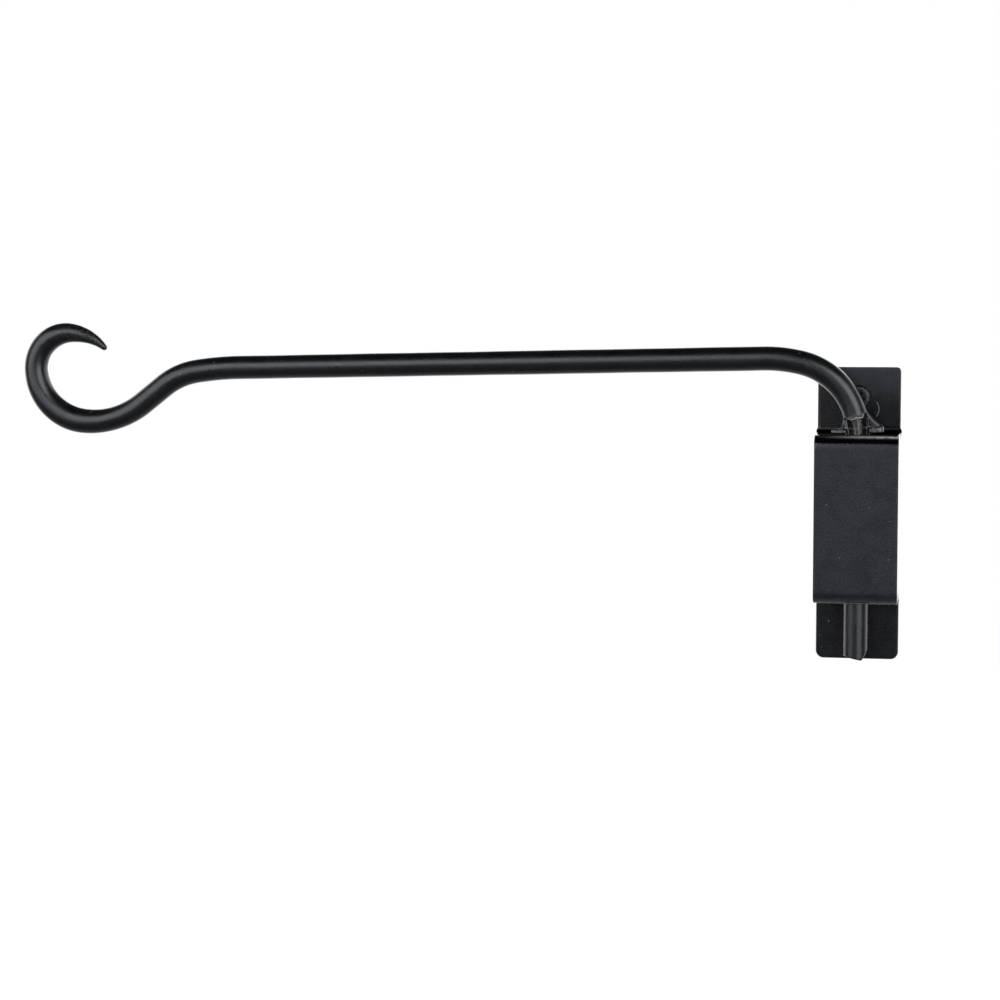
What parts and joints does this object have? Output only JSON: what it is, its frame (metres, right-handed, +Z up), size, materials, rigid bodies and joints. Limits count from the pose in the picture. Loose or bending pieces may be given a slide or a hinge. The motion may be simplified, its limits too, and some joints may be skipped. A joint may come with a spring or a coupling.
{
  "type": "swivel hanging basket bracket",
  "caption": "Wall bracket bent from flat strap, carrying a round steel rod that swivels on its own pin end and reaches out to an open spiral hook for a hanging basket.",
  "frame": {"origin": "on the wall plane, at the middle of the wall bracket, midway between the two screws", "axes": "+Z up; +Y into the wall; the arm at rest lies along -X, parallel to the wall, and swings out over -Y"},
  "size_m": [0.3527, 0.0557, 0.1312],
  "materials": {
    "strap_paint": "satin black powder coat",
    "rod_paint": "semi-gloss black powder coat",
    "screw_paint": "black coated steel"
  },
  "bodies": {
    "bracket": {"wall_bracket": "strap_paint", "mounting_screw_upper": "screw_paint", "mounting_screw_lower": "screw_paint"},
    "arm": {"swivel_arm": "rod_paint"}
  },
  "joints": [
    {"name": "arm_swivel", "type": "hinge", "parent": "bracket", "child": "arm", "pos_m": [0, -0.0157, 0], "axis": [0, 0, 1], "range_deg": [0, 180]}
  ]
}
